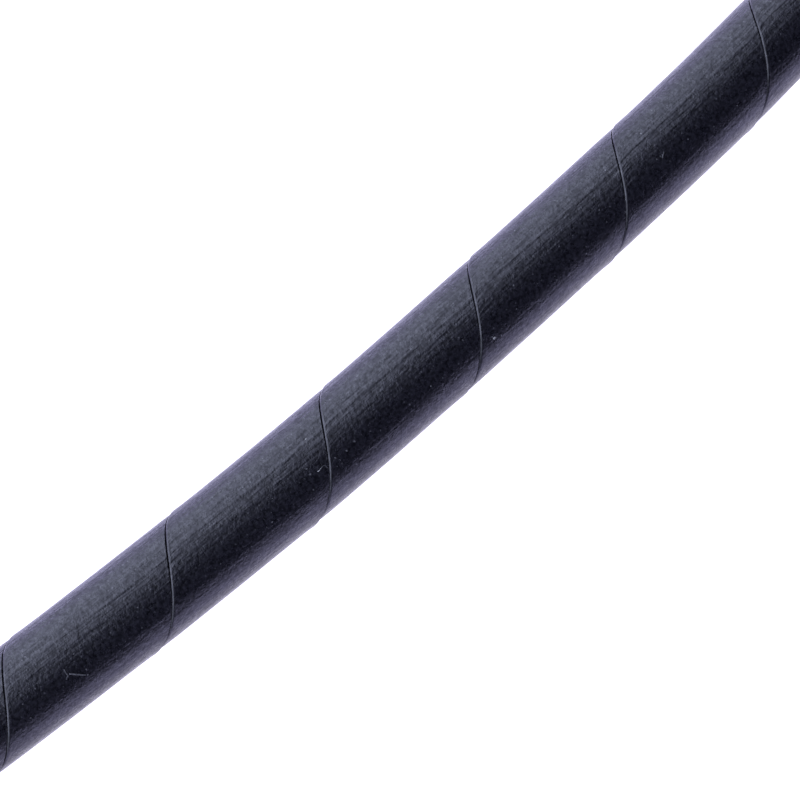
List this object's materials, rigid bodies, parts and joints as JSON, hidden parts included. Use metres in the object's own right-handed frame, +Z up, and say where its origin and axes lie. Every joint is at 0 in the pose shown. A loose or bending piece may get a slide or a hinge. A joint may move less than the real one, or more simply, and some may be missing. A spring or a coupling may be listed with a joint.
{
  "type": "spiral cable wrap",
  "caption": "Length of slim black plastic spiral cable wrap: a tube slit along a steep left-handed helix, so that it is one band wound edge to edge, lying in a gentle level arc.",
  "frame": {"origin": "the middle of the footprint of the arc, on the surface that it rests on", "axes": "+X along the chord of the arc, +Y towards the centre of the arc, +Z up, square to the plane of the arc"},
  "size_m": [0.8158, 0.2526, 0.006],
  "materials": {
    "black_polyethylene": "semi-matte extruded plastic with fine lines along the tube"
  },
  "bodies": {
    "root": {"spiral_wrap": "black_polyethylene"}
  },
  "joints": []
}
